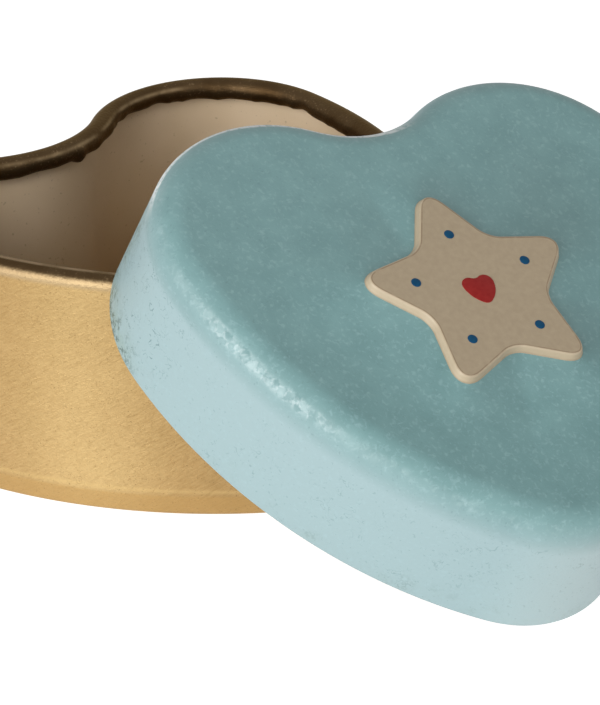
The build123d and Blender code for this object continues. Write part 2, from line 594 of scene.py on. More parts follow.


# %% [markdown]
# Gold lacquer is a clear, amber-dyed varnish over bright tinplate, so it is a metal, tinted. The
# strip it was cut from was rolled, which leaves fine lines at a slant, and the varnish pools into
# faint mottles with specks of dust. The middle of the side is painted paler, a painted highlight,
# and the wall is painted darker towards the curl, a painted shade. The foot's band is painted
# deeper and more orange, and the bend above it has a painted highlight.
# Real rolling lines are finer, and are drawn as coarse as they need to show.

# %% The gold on the wall
GRAIN_SLANT = math.radians(-32)
GRAIN_WIDTH = 0.17 * MM
GRAIN_LENGTH = 0.9 * MM
POOL_SIZE = 13 * MM
MOTTLE_SIZE = 3.2 * MM
FRECKLE_SIZE = 0.3 * MM
SPECK_SIZE = 0.15 * MM
GOLD_CRAZE_SIZE = 0.9 * MM
GOLD_CRAZE_PATCH = 2.2 * MM
SIDE_FROM = 40.6 * MM
SIDE_TO = 46.6 * MM
SIDE_SOFT = 7 * MM
BEND_FROM = 0.1 * MM
BEND_TO = 0.4 * MM
BEND_SOFT = 0.2 * MM
UPPER_HIGH = 10 * MM
UPPER_LOW = 1.5 * MM
SHOULDER_BELOW = 0.1 * MM
SHOULDER_ABOVE = 1.0 * MM
SHOULDER_SOFT = 0.25 * MM


def rolled_grain(tree, size, low, high, warp):
    """The slanting lines that rolling leaves, much longer than they are wide."""
    lengths = add(tree, "ShaderNodeUVMap", uv_map=MAP_NAME).outputs[0]
    slanted = add(tree, "ShaderNodeMapping", {"Vector": lengths, "Rotation": (0, 0, GRAIN_SLANT)})
    stretch = (1, GRAIN_LENGTH / GRAIN_WIDTH, 1)
    return speckle(tree, slanted.outputs[0], size, low, high, 4.0, stretch, warp)


def gold_wall(tree, place, way_round, run, grain, mottle):
    """The varnish on the wall and the foot, with painted highlights and painted shade."""
    body = tinted(tree, colour("A08253"), "B19161", mottle)
    # A painted highlight: the middle of the side is painted paler, where the wall's sheen peaks
    body = tinted(tree, body, "D1B57F", band(tree, way_round, SIDE_FROM, SIDE_TO, SIDE_SOFT))
    body = tinted(tree, body, "9F7D4B", speckle(tree, place, POOL_SIZE, 0.35, 0.65), 0.3)
    freckle = speckle(tree, place, FRECKLE_SIZE, 0.35, 0.75, 3.0, warp=0.8)
    body = tinted(tree, body, "967646", freckle, 0.35)
    body = tinted(tree, body, "D2B47E", grain, 0.3)
    scuff = rolled_grain(tree, 2 * GRAIN_LENGTH, 0.56, 0.72, 1.2)
    body = tinted(tree, body, "8E7042", scuff, 0.3)
    crazed = hairlines(tree, place, GOLD_CRAZE_SIZE, 0.008, 1.6)
    crazed_here = speckle(tree, place, GOLD_CRAZE_PATCH, 0.5, 0.56)
    body = tinted(tree, body, "7D6038", crazed, crazed_here, 0.35)
    # The foot's band is painted deeper and more orange, and the bend above it has a painted highlight
    foot = band(tree, run, -BEYOND, band_end_length - BEND_SOFT, BEND_SOFT)
    body = tinted(tree, body, "B8945A", foot, 0.6)
    bend = band(tree, run, band_end_length + BEND_FROM, band_end_length + BEND_TO, BEND_SOFT)
    body = tinted(tree, body, "D3B57A", bend, 0.35)
    # Painted shade: towards the curl the wall is painted darker, and its shoulder is painted a paler
    # grey-gold that stands in for the highlight's colour there
    upper = add(
        tree,
        "ShaderNodeMapRange",
        {
            "Value": run,
            "From Min": curl_start_length - UPPER_HIGH,
            "From Max": curl_start_length - UPPER_LOW,
        },
        interpolation_type="SMOOTHSTEP",
    )
    body = tinted(tree, body, "8E6F3E", upper.outputs[0], 0.2)
    shoulder_low = curl_start_length - SHOULDER_BELOW
    shoulder_high = curl_start_length + SHOULDER_ABOVE
    shoulder = band(tree, run, shoulder_low, shoulder_high, SHOULDER_SOFT)
    body = tinted(tree, body, "A49072", shoulder, 0.6)
    return tinted(tree, body, "6B5230", speckle(tree, place, SPECK_SIZE, 0.69, 0.74, 1.0), 0.5)


# %% [markdown]
# The curl is painted a dark brown, a painted dark reflection of the dim room above and behind it.
# The brown starts over the shoulder in a slightly ragged line and is painted deepest on the side
# that is turned in, as painted shade. Small painted glints speckle it. By the cleft the curl's inner
# side has a painted highlight in a paler line, and a thin one runs along the very top.

# %% The painted dark brown on the curl
BROWN_FROM = math.radians(34)
BROWN_SOFT = 0.3 * MM
RAGGED_SIZE = 0.35 * MM
RAGGED_BY = 0.1 * MM
TURNED_FROM = math.radians(130)
TURNED_SOFT = 0.5 * MM
BROWN_PATCH = 4.0 * MM
GLINT_SIZE = 0.2 * MM
CLEFT_LINE_FROM = math.radians(133)
CLEFT_LINE_WIDE = 0.3 * MM
CLEFT_LINE_SOFT = 0.18 * MM
CLEFT_LINE_PATCH = 2.4 * MM
CLEFT_LEFT = 7 * MM
CLEFT_RIGHT = 18 * MM
CLEFT_SOFT = 2 * MM
CREST_BEFORE = 0.14 * MM
CREST_AFTER = 0.5 * MM
CREST_SOFT = 0.12 * MM
CREST_PATCH = 3 * MM
CREST_LIT_FROM = 31 * MM
CREST_LIT_TO = 62 * MM
CREST_LIT_SOFT = 3 * MM


def painted_curl_part(tree, place, run):
    """Where the curl is painted dark brown, as a painted dark reflection."""
    ragged = speckle(tree, place, RAGGED_SIZE, 0.3, 0.7, 3.0)
    shifted = add(tree, "ShaderNodeMath", {0: ragged, 1: RAGGED_BY, 2: run}, operation="MULTIPLY_ADD")
    start = curl_start_length + BROWN_FROM * RIM_CURL_RADIUS
    return band(tree, shifted.outputs[0], start, BEYOND, BROWN_SOFT)


def painted_curl_colour(tree, place, way_round, run):
    """The painted dark brown of the curl, with painted glints and painted highlight lines."""
    # Painted shade: the side that is turned in is painted deepest
    turned = curl_start_length + TURNED_FROM * RIM_CURL_RADIUS
    brown = tinted(tree, colour("40301D"), "3D2C18", band(tree, run, turned, BEYOND, TURNED_SOFT))
    patches = speckle(tree, place, BROWN_PATCH, 0.4, 0.6)
    brown = tinted(tree, brown, "4F3F2B", patches, 0.5)
    # Painted glints: small pale specks that stand in for highlights on the curl
    glints = speckle(tree, place, GLINT_SIZE, 0.6, 0.7)
    brown = tinted(tree, brown, "9A8262", glints, patches, 0.25)
    # A painted highlight: a paler line along the curl's inner side by the cleft
    cleft_line_start = curl_start_length + CLEFT_LINE_FROM * RIM_CURL_RADIUS
    cleft_line = band(tree, run, cleft_line_start, cleft_line_start + CLEFT_LINE_WIDE, CLEFT_LINE_SOFT)
    by_cleft = either(
        tree,
        band(tree, way_round, -BEYOND, CLEFT_LEFT, CLEFT_SOFT),
        band(tree, way_round, outline_length - CLEFT_RIGHT, BEYOND, CLEFT_SOFT),
    )
    cleft_line_here = speckle(tree, place, CLEFT_LINE_PATCH, 0.35, 0.6, 3.0)
    brown = tinted(tree, brown, "7E6B50", cleft_line, by_cleft, cleft_line_here, 0.8)
    # A painted highlight: a thin paler line along the very top of the curl, over a stretch of the left
    # side
    top = curl_start_length + QUARTER * RIM_CURL_RADIUS
    crest = band(tree, run, top - CREST_BEFORE, top + CREST_AFTER, CREST_SOFT)
    crest_lit = band(tree, way_round, CREST_LIT_FROM, CREST_LIT_TO, CREST_LIT_SOFT)
    crest_here = speckle(tree, place, CREST_PATCH, 0.2, 0.45, 3.0)
    return tinted(tree, brown, "93806A", crest, crest_lit, crest_here, 0.7)


# %% Gold lacquer outside the base
LINES_DEPTH = 0.02 * MM
PEBBLE_SIZE = 0.3 * MM
PEBBLE_DEPTH = 0.05 * MM


def gold_lacquer():
    """Amber varnish on tinplate, with the curl painted dark brown as a painted dark reflection."""
    material, tree = new_material("gold_lacquer_on_tinplate")
    place, way_round, run = sheet_places(tree)
    grain = rolled_grain(tree, GRAIN_LENGTH, 0.3, 0.7, 0.8)
    mottle = speckle(tree, place, MOTTLE_SIZE, 0.3, 0.7, 4.0)
    curl_mask = painted_curl_part(tree, place, run)
    wall = gold_wall(tree, place, way_round, run, grain, mottle)
    body = tinted(tree, wall, painted_curl_colour(tree, place, way_round, run), curl_mask)
    gloss = add(tree, "ShaderNodeMapRange", {"Value": mottle, "To Min": 0.5, "To Max": 0.42})
    rough = add(tree, "ShaderNodeMix", {0: curl_mask, 2: gloss.outputs[0], 3: 0.42}, data_type="FLOAT")
    metal = add(tree, "ShaderNodeMapRange", {"Value": curl_mask, "To Min": 0.4, "To Max": 0.8})
    lines = add(tree, "ShaderNodeBump", {"Strength": 0.3, "Distance": LINES_DEPTH, "Height": grain})
    pebble = add(
        tree,
        "ShaderNodeBump",
        {
            "Strength": 0.5,
            "Distance": PEBBLE_DEPTH,
            "Height": speckle(tree, place, PEBBLE_SIZE, 0.2, 0.8, 3.0, warp=0.8),
            "Normal": lines.outputs[0],
        },
    )
    shader = add(
        tree,
        "ShaderNodeBsdfPrincipled",
        {
            "Base Color": body,
            "Metallic": metal.outputs[0],
            "Roughness": rough.outputs[0],
            "Specular Tint": colour("D8C6A8"),
            "Normal": pebble.outputs[0],
        },
    )
    return finish_material(material, shader.outputs[0])


# %% [markdown]
# Inside, tins for keepsakes get a cream sanitary lacquer: an opaque satin coat, warm and even, with
# only a faint cloudiness. It is a plain dielectric, and most of what it shows is light that came in
# over the rim. Towards the bottom it is painted darker and warmer, a painted shade deep in the tin.
# Where the sheet was sheared, no coat covers it, and the grey steel shows with its burr lines, here
# as coarse as they need to show.

# %% Cream lacquer inside, and the cut edge
CREAM_CLOUD = 7 * MM
CREAM_DUST = 0.35 * MM
CREAM_SKIN = 0.5 * MM
CREAM_SKIN_DEPTH = 0.02 * MM
SHADE_LOW = 3 * MM
SHADE_HIGH = 20 * MM
BURR_SIZE = 0.12 * MM


def cream_lacquer():
    """An opaque satin coat with a faint cloudiness, and painted shade towards the bottom."""
    material, tree = new_material("cream_inside_lacquer")
    place = add(tree, "ShaderNodeTexCoord").outputs["Object"]
    body = tinted(tree, colour("D3BC9B"), "DFC9AB", speckle(tree, place, CREAM_CLOUD, 0.3, 0.7, 3.0))
    # Painted shade: darker and warmer towards the bottom of the tin
    height = add(tree, "ShaderNodeSeparateXYZ", {0: place}).outputs[2]
    depth = add(
        tree,
        "ShaderNodeMapRange",
        {"Value": height, "From Min": SHADE_HIGH, "From Max": SHADE_LOW},
        interpolation_type="SMOOTHSTEP",
    )
    body = tinted(tree, body, "AD9069", depth.outputs[0])
    dust = speckle(tree, place, CREAM_DUST, 0.70, 0.76, 1.0)
    body = tinted(tree, body, "7B6347", dust, 0.35)
    skin = speckle(tree, place, CREAM_SKIN, 0.2, 0.8)
    bump = add(tree, "ShaderNodeBump", {"Strength": 0.2, "Distance": CREAM_SKIN_DEPTH, "Height": skin})
    shader = add(
        tree,
        "ShaderNodeBsdfPrincipled",
        {"Base Color": body, "Roughness": 0.5, "Normal": bump.outputs[0]},
    )
    return finish_material(material, shader.outputs[0])


def bare_tinplate():
    """The grey steel of a sheared edge, with its burr lines."""
    material, tree = new_material("bare_tinplate_edge")
    place = add(tree, "ShaderNodeTexCoord").outputs["Object"]
    body = tinted(tree, colour("8E8A82"), "C4C0B6", speckle(tree, place, BURR_SIZE, 0.3, 0.7, 3.0))
    inputs = {"Base Color": body, "Metallic": 1.0, "Roughness": 0.38}
    shader = add(tree, "ShaderNodeBsdfPrincipled", inputs)
    return finish_material(material, shader.outputs[0])


# %% [markdown]
# The blue is a stoved enamel, sprayed on the flat sheet and then drawn with it. It is satin, with
# tiny pale flecks and specks of dust. Painted light lies over it: it is painted paler towards the
# lobes, paler still over the edge and down the skirt, and palest at the tip. From near the cleft to
# the grip, the paler skirt ends in a line just under the edge.

# %% The blue as it was sprayed and drawn
CLOUD_SIZE = 2.4 * MM
PALER_FROM = -45 * MM
PALER_TO = -8 * MM
FLECK_SIZE = 0.34 * MM
DUST_SIZE = 0.28 * MM
PALER_SKIRT_BELOW = 1.0 * MM
PALER_SKIRT_PAST = 2.15 * MM
LINE_BELOW = 0.45 * MM
LINE_SOFT = 0.3 * MM
LINE_FROM = 6 * MM
LINE_TO = 38 * MM
LINE_END_SOFT = 5 * MM
LINE_SHARE = 0.32
TIP_SOFT = 4.5 * MM
tip_at = lid_length / 2


def paler_skirt_part(tree, way_round, run):
    """Where the coat is painted paler as painted light: the skirt and the edge, but not the top."""
    paler_skirt = add(
        tree,
        "ShaderNodeMapRange",
        {
            "Value": run,
            "From Min": edge_start_length - PALER_SKIRT_BELOW,
            "From Max": edge_start_length + PALER_SKIRT_PAST,
            "To Min": 1,
            "To Max": 0,
        },
    )
    past = band(tree, run, edge_start_length - LINE_BELOW, BEYOND, LINE_SOFT)
    past = overlap(tree, past, band(tree, way_round, LINE_FROM, LINE_TO, LINE_END_SOFT))
    left = add(tree, "ShaderNodeMath", {0: past, 1: -LINE_SHARE, 2: 1.0}, operation="MULTIPLY_ADD")
    return overlap(tree, paler_skirt.outputs[0], left.outputs[0])


def sprayed_coat(tree, place, way_round, paler_skirt):
    """The blue coat before it was handled, with painted light on the skirt, the edge and the tip, and
    towards the lobes.
    """
    body = tinted(tree, colour("658989"), "709494", speckle(tree, place, CLOUD_SIZE, 0.3, 0.7, 5.0))
    # Painted light: the top is painted paler towards the lobes
    forward = add(tree, "ShaderNodeSeparateXYZ", {0: place}).outputs[1]
    lobe_light = add(
        tree, "ShaderNodeMapRange", {"Value": forward, "From Min": PALER_FROM, "From Max": PALER_TO}
    )
    body = tinted(tree, body, "A4C0C2", lobe_light.outputs[0], 0.21)
    # Painted light: the skirt and the edge are painted paler than the top
    body = tinted(tree, body, "99B1B4", paler_skirt)
    # Painted light: the tip is painted paler still
    tip_light = band(tree, way_round, tip_at - TIP_SOFT, tip_at + TIP_SOFT, TIP_SOFT)
    body = tinted(tree, body, "C8D6D4", tip_light, paler_skirt, 0.35)
    fleck = speckle(tree, place, FLECK_SIZE, 0.54, 0.72, 3.0, (1, 0.85, 1), 0.6)
    body = tinted(tree, body, "A4C0C4", fleck, 0.25)
    return tinted(tree, body, "4E6D6E", speckle(tree, place, DUST_SIZE, 0.68, 0.74, 1.0), 0.22)


# %% [markdown]
# Over the rounded edge the draw has crazed the enamel. The flakes and cracks are painted pale, partly
# as the crazed coat and partly as a painted highlight, and most along the left, where the glint of
# the lamps falls. A Voronoi texture has the form of flakes. A noise stirs the place it is read at, so
# that they aren't rounded, its distance to a cell's edge gives the cracks, and each cell's own random
# colour says how pale that flake is and which way it is tilted. The tilt goes to a bump, and that
# glints.

# %% Flakes on the rounded edge
FLAKE_SIZE = 0.76 * MM
FLAKE_STIR = 0.45 * MM
FLAKE_FROM = 1.0 * MM
FLAKE_TO = 2.0 * MM
FLAKE_SOFT = 0.3 * MM
FLAKE_PATCH = 2.6 * MM
SPLIT_PATCH = 0.45 * MM
GLINT_BAND_FROM = 36.2 * MM
GLINT_BAND_TO = 50 * MM
HAND_SOFT = 2.6 * MM


def crazed_part(tree, place, way_round, run):
    """Where the coat on the rounded edge has crazed, and is painted pale, partly as painted highlight.
    """
    low = edge_start_length + FLAKE_FROM
    high = edge_start_length + FLAKE_TO
    patchy = overlap(tree, speckle(tree, place, FLAKE_PATCH, 0.44, 0.56, 4.0), 0.28)
    glint_band = band(tree, way_round, GLINT_BAND_FROM, GLINT_BAND_TO, HAND_SOFT)
    return overlap(tree, band(tree, run, low, high, FLAKE_SOFT), either(tree, patchy, glint_band))


def flakes(tree, place):
    """Masks of the flakes' pale middles and of the cracks, and the tilt of each flake's face."""
    stir = add(tree, "ShaderNodeTexNoise", {"Vector": place, "Scale": 1 / FLAKE_SIZE, "Detail": 2.0})
    stirred = add(
        tree,
        "ShaderNodeVectorMath",
        {0: stir.outputs["Color"], 1: (FLAKE_STIR,) * 3, 2: place},
        operation="MULTIPLY_ADD",
    ).outputs[0]
    cells = {"Vector": stirred, "Scale": 1 / FLAKE_SIZE}
    flake = add(tree, "ShaderNodeTexVoronoi", cells, feature="F1")
    own = flake.outputs["Color"]
    crack = add(tree, "ShaderNodeTexVoronoi", cells, feature="DISTANCE_TO_EDGE").outputs["Distance"]
    whole = add(tree, "ShaderNodeMapRange", {"Value": crack, "From Min": 0.0, "From Max": 0.25})
    split = add(
        tree,
        "ShaderNodeMapRange",
        {"Value": crack, "From Min": 0.03, "From Max": 0.2, "To Min": 1, "To Max": 0},
        interpolation_type="SMOOTHSTEP",
    )
    split = overlap(tree, split.outputs[0], speckle(tree, place, SPLIT_PATCH, 0.42, 0.56))
    lift = add(tree, "ShaderNodeSeparateXYZ", {0: own}).outputs[0]
    lifted = add(tree, "ShaderNodeMapRange", {"Value": lift, "From Min": 0.3, "From Max": 1.0})
    pale = overlap(tree, whole.outputs[0], lifted.outputs[0])
    way = add(tree, "ShaderNodeVectorMath", {0: own, 1: (0.5,) * 3}, operation="SUBTRACT")
    offset = {0: stirred, 1: flake.outputs["Position"]}
    from_middle = add(tree, "ShaderNodeVectorMath", offset, operation="SUBTRACT")
    slope = {0: from_middle.outputs[0], 1: way.outputs[0]}
    tilt = add(tree, "ShaderNodeVectorMath", slope, operation="DOT_PRODUCT")
    return pale, split, tilt.outputs["Value"]


# %% [markdown]
# Handling has worn the rest. A hand on the skirt leaves short hairline scratches. Along the shoulder,
# from the cleft round the left lobe, the coat is painted white, partly as rubbed wear and partly as a
# painted highlight along the edge, high up at first and lower towards the lobe. The way along the
# shoulder is counted from the cleft both ways, so that the band doesn't jump where the two ends of the
# map meet.

# %% Scratches, and the rubbed shoulder
HELD_FROM = 23 * MM
HELD_TO = 36 * MM
HELD_PATCH = 4.5 * MM
SCRATCH_SIZE = 1.1 * MM
RUB_HIGH_AT = 11 * MM
RUB_LOW_AT = 25 * MM
RUB_HIGH = 2.48 * MM
RUB_LOW = 0.7 * MM
RUB_DOWN = 1.3 * MM
RUB_TOP_SOFT = 0.15 * MM
RUB_FOOT_SOFT = 0.8 * MM
RUB_TO = 24 * MM
RUB_PAST_CLEFT = 2 * MM
RUB_END_SOFT = 2 * MM
RUB_SPECK = 0.4 * MM


def scratches(tree, place, way_round, paler_skirt):
    """Short hairline scratches where a hand holds the skirt, and a few elsewhere."""
    elsewhere = overlap(tree, speckle(tree, place, HELD_PATCH, 0.52, 0.6), 0.5)
    held = either(tree, band(tree, way_round, HELD_FROM, HELD_TO, HAND_SOFT), elsewhere)
    lines = hairlines(tree, place, SCRATCH_SIZE, 0.012, 1.2)
    return overlap(tree, lines, speckle(tree, place, SCRATCH_SIZE, 0.5, 0.55), held, paler_skirt)


def rubbed_and_highlit_part(tree, place, way_round, run):
    """Where the shoulder is painted white, partly as rubbed wear and partly as painted highlight, from
    just past the cleft round to the lobe.
    """
    from_cleft = add(tree, "ShaderNodeMath", {0: way_round, 1: tip_at}, operation="PINGPONG")
    reach = add(
        tree,
        "ShaderNodeMapRange",
        {
            "Value": from_cleft.outputs[0],
            "From Min": RUB_HIGH_AT,
            "From Max": RUB_LOW_AT,
            "To Min": edge_start_length + RUB_HIGH,
            "To Max": edge_start_length + RUB_LOW,
        },
    ).outputs[0]
    below = add(tree, "ShaderNodeMath", {0: reach, 1: run}, operation="SUBTRACT").outputs[0]
    along_it = either(
        tree,
        band(tree, way_round, -BEYOND, RUB_TO, RUB_END_SOFT),
        band(tree, way_round, lid_length - RUB_PAST_CLEFT, BEYOND, RUB_END_SOFT),
    )
    return overlap(
        tree,
        band(tree, below, 0, BEYOND, RUB_TOP_SOFT),
        band(tree, below, -BEYOND, RUB_DOWN, RUB_FOOT_SOFT),
        along_it,
        speckle(tree, place, RUB_SPECK, 0.27, 0.5, 3.0),
    )


# %% [markdown]
# Where the hem is handled, the enamel has chipped to a dark greenish grey, in small crumbs and short
# strokes. At the lobe's far side a finger has scuffed the skirt over its whole height.

# %% Chips along the hem
GRIP_FROM = 19 * MM
GRIP_TO = 32 * MM
GRIP_PATCH = 4.2 * MM
CHIPPED_UP_TO = 1.8 * MM
CHIPPED_SOFT = 1.6 * MM
FINGER_FROM = 19.8 * MM
FINGER_TO = 24.5 * MM
FINGER_SOFT = 2.2 * MM
FINGER_BELOW = 0.5 * MM
FINGER_TOP_SOFT = 1.0 * MM
SCUFF_PATCH = 1.6 * MM
CHIP_SIZE = 0.4 * MM
CHIP_PATCH = 1.3 * MM
STROKE_SIZE = 0.8 * MM


def handled_part(tree, place, way_round, run):
    """Where the hem and the skirt are handled."""
    elsewhere = overlap(tree, speckle(tree, place, GRIP_PATCH, 0.5, 0.62), 0.3)
    gripped = either(tree, elsewhere, band(tree, way_round, GRIP_FROM, GRIP_TO, HAND_SOFT))
    by_hem = band(tree, run, -BEYOND, hem_start + CHIPPED_UP_TO, CHIPPED_SOFT)
    finger = band(tree, way_round, FINGER_FROM, FINGER_TO, FINGER_SOFT)
    skirt = band(tree, run, -BEYOND, edge_start_length - FINGER_BELOW, FINGER_TOP_SOFT)
    return either(tree, overlap(tree, by_hem, gripped), overlap(tree, finger, skirt))


def chipped_coat(tree, body, place, handled):
    """Scuffs and chips the coat where it is handled."""
    scuffed = speckle(tree, place, SCUFF_PATCH, 0.35, 0.6, 3.0)
    body = tinted(tree, body, "8AA298", handled, scuffed, 0.5)
    crumbs = speckle(tree, place, CHIP_SIZE, 0.51, 0.57, 5.0, warp=1.2)
    chips = either(tree, crumbs, hairlines(tree, place, STROKE_SIZE, 0.016, 1.4))
    chips = overlap(tree, chips, speckle(tree, place, CHIP_PATCH, 0.44, 0.54))
    return tinted(tree, body, "3C5249", handled, chips, 0.85)


# %% Blue enamel on the lid
PEEL_SIZE = 0.35 * MM
PEEL_DEPTH = 0.03 * MM


def blue_enamel():
    """Satin stoved enamel with an orange-peel skin, worn as a lid is."""
    material, tree = new_material("blue_stoved_enamel")
    place, way_round, run = sheet_places(tree)
    paler_skirt = paler_skirt_part(tree, way_round, run)
    crazed = crazed_part(tree, place, way_round, run)
    pale, split, tilt = flakes(tree, place)
    body = sprayed_coat(tree, place, way_round, paler_skirt)
    body = tinted(tree, body, "5E7A7C", scratches(tree, place, way_round, paler_skirt), 0.7)
    # Partly painted highlight: pale flakes and pale cracks on the crazed edge
    body = tinted(tree, body, "B6CCCD", crazed, pale, 0.45)
    body = tinted(tree, body, "C8DADB", crazed, split, 0.35)
    # Partly painted highlight: the white line along the shoulder
    body = tinted(tree, body, "F0F3F1", rubbed_and_highlit_part(tree, place, way_round, run), 0.85)
    body = chipped_coat(tree, body, place, handled_part(tree, place, way_round, run))
    skin = speckle(tree, place, PEEL_SIZE, 0.2, 0.8, 3.0)
    peel = add(tree, "ShaderNodeBump", {"Strength": 0.45, "Distance": PEEL_DEPTH, "Height": skin})
    # The tilt is already a height in metres
    tilted = add(
        tree,
        "ShaderNodeBump",
        {
            "Strength": overlap(tree, crazed, 0.5),
            "Distance": 1.0,
            "Height": tilt,
            "Normal": peel.outputs[0],
        },
    )
    rough = add(tree, "ShaderNodeMapRange", {"Value": crazed, "To Min": 0.48, "To Max": 0.36})
    shader = add(
        tree,
        "ShaderNodeBsdfPrincipled",
        {
            "Base Color": body,
            "Roughness": rough.outputs[0],
            "IOR": 1.5,
            "Normal": tilted.outputs[0],
        },
    )
    return finish_material(material, shader.outputs[0])


# %% [markdown]
# The star's ivory and the inks are thicker prints laid on top of the blue, so each is a coat of its
# own with a real thickness. They share one recipe: a tint, its paler cloud and a tooth, which is
# finer on a real print and is drawn as coarse as it needs to show. The ivory is a satin enamel. Its
# side is painted paler, a painted highlight, and a brown line is painted along its top's edge. The
# inks dry matt, and an IOR below an enamel's keeps the sheen off them.

# %% Printed enamels
PRINT_CLOUD = 0.5 * MM
TOOTH_SIZE = 0.16 * MM
TOOTH_DEPTH = 0.015 * MM
TOP_LINE_PATCH = 0.8 * MM


def printed_enamel(name, dark, light, index):
    """A screened enamel. The star's climb is 0 at its foot, 1 at its top's edge and 2 inside the brown
    line, and it is 0 all over a print."""
    material, tree = new_material(name)
    place = add(tree, "ShaderNodeTexCoord").outputs["Object"]
    climb = add(tree, "ShaderNodeAttribute", attribute_name=CLIMB_NAME).outputs["Fac"]
    body = tinted(tree, colour(dark), light, speckle(tree, place, PRINT_CLOUD, 0.3, 0.7, 4.0))
    # A painted highlight: the star's side is painted paler
    body = tinted(tree, body, "CDBBA0", band(tree, climb, 0.2, 1.05, 0.15), 0.4)
    # A brown line painted along the top's edge
    line = band(tree, climb, 1.25, 1.75, 0.15)
    line_here = speckle(tree, place, TOP_LINE_PATCH, 0.3, 0.5, 3.0)
    body = tinted(tree, body, "6B5236", line, line_here, 0.6)
    tooth = speckle(tree, place, TOOTH_SIZE, 0.2, 0.8)
    bump = add(tree, "ShaderNodeBump", {"Strength": 0.3, "Distance": TOOTH_DEPTH, "Height": tooth})
    shader = add(
        tree,
        "ShaderNodeBsdfPrincipled",
        {"Base Color": body, "Roughness": 0.45, "IOR": index, "Normal": bump.outputs[0]},
    )
    return finish_material(material, shader.outputs[0])


# %% [markdown]
# A shell becomes a real sheet with the Solidify modifier. Its two material offsets give the inside
# its own lacquer and the sheared edge its bare metal. The modifier is then applied, and edges that
# turn sharply are marked, so that the flat cut edge doesn't shade as if it were round.

# %% Make pieces
SHARP = math.radians(40)


def new_piece(name, bm, materials, place):
    """A mesh object at the origin, with its place in its mesh."""
    bm.transform(place)
    mesh = bpy.data.meshes.new(name)
    bm.to_mesh(mesh)
    bm.free()
    for material in materials:
        mesh.materials.append(material)
    piece = bpy.data.objects.new(name, mesh)
    bpy.context.scene.collection.objects.link(piece)
    return piece


def thicken(piece, thickness, side, offset):
    """Gives the piece its thickness, inward at side -1 or outward at side 1, and applies it."""
    wall = piece.modifiers.new("sheet", "SOLIDIFY")
    wall.thickness = thickness
    wall.offset = side
    wall.use_even_offset = True
    wall.material_offset = offset
    wall.material_offset_rim = 2 * offset
    bpy.context.view_layer.update()
    evaluated = piece.evaluated_get(bpy.context.evaluated_depsgraph_get())
    solid = bpy.data.meshes.new_from_object(evaluated)
    piece.modifiers.clear()
    piece.data = solid
    smooth(piece)


def smooth(piece):
    """Shades the piece smooth, with its sharp edges kept."""
    mesh = piece.data
    mesh.polygons.foreach_set("use_smooth", [True] * len(mesh.polygons))
    mesh.set_sharp_from_angle(angle=SHARP)
    mesh.update()
    print(piece.name, "has", len(mesh.polygons), "faces")


cream = cream_lacquer()
bare = bare_tinplate()
base_shell = new_piece("base_shell", base_bm, [gold_lacquer(), cream, bare], Matrix())
thicken(base_shell, SHEET, -1, 1)
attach(base_shell, "base")
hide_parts("base")

lid_shell = new_piece("lid_shell", lid_bm, [blue_enamel(), cream, bare], lid_place)
thicken(lid_shell, SHEET, -1, 1)
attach(lid_shell, "lid")
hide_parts("lid")

# %% The star's ivory coat
COAT = 0.04 * MM

bm = bmesh.new()
add_star(bm)
star_coat = new_piece(
    "star_coat", bm, [printed_enamel("ivory_enamel", "9F8E75", "A7967C", 1.5)], lid_place
)
thicken(star_coat, COAT, 1, 0)
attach(star_coat, "lid")

# %% [markdown]
# The motif's small prints are a ring of blue dots, one towards each point, and a red heart at the
# middle. Each is a flat disc or heart, extruded by a coat's thickness and eased at its upper edge.
# The heart reuses the tin's own outline, spun from a single point and shrunk.

# %% Dots and heart
PRINT = 0.07 * MM
PRINT_EASE = 0.03 * MM
DOT_RADIUS = 0.42 * MM
DOT_SHARE = 0.5
HEART_WIDTH = 2.9 * MM
DOT_SIDES = 28
HEART_STEP = 2.2 * MM
print_floor = LID_HEIGHT + STAR_RELIEF + COAT / 2


def raise_print(bm, faces):
    """Extrudes flat faces up by a print's thickness and eases the upper edge."""
    for face in faces:
        if face.normal.z < 0:
            bmesh.ops.reverse_faces(bm, faces=[face])
    grown = bmesh.ops.extrude_face_region(bm, geom=faces, use_keep_orig=True)["geom"]
    tops = [item for item in grown if isinstance(item, bmesh.types.BMFace)]
    verts = {vert for face in tops for vert in face.verts}
    bmesh.ops.translate(bm, verts=list(verts), vec=(0, 0, PRINT))
    rims = {edge for face in tops for edge in face.edges}
    bmesh.ops.bevel(
        bm,
        geom=list(rims),
        offset=PRINT_EASE,
        offset_type="OFFSET",
        segments=3,
        profile=0.5,
        affect="EDGES",
        material=-1,
    )
    bmesh.ops.recalc_face_normals(bm, faces=bm.faces[:])


bm = bmesh.new()
for count in range(STAR_POINTS):
    turn = Matrix.Rotation(2 * math.pi * count / STAR_POINTS, 4, "Z")
    spot = Matrix.Translation((0, -STAR_DROP, print_floor)) @ turn
    spot = spot @ Matrix.Translation((0, STAR_RADIUS * DOT_SHARE, 0))
    bmesh.ops.create_circle(bm, cap_ends=True, segments=DOT_SIDES, radius=DOT_RADIUS, matrix=spot)
raise_print(bm, bm.faces[:])
blue_print = printed_enamel("blue_ink", "0C3F5E", "15496A", 1.2)
star_dots = new_piece("star_dots", bm, [blue_print], lid_place)
smooth(star_dots)
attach(star_dots, "lid")

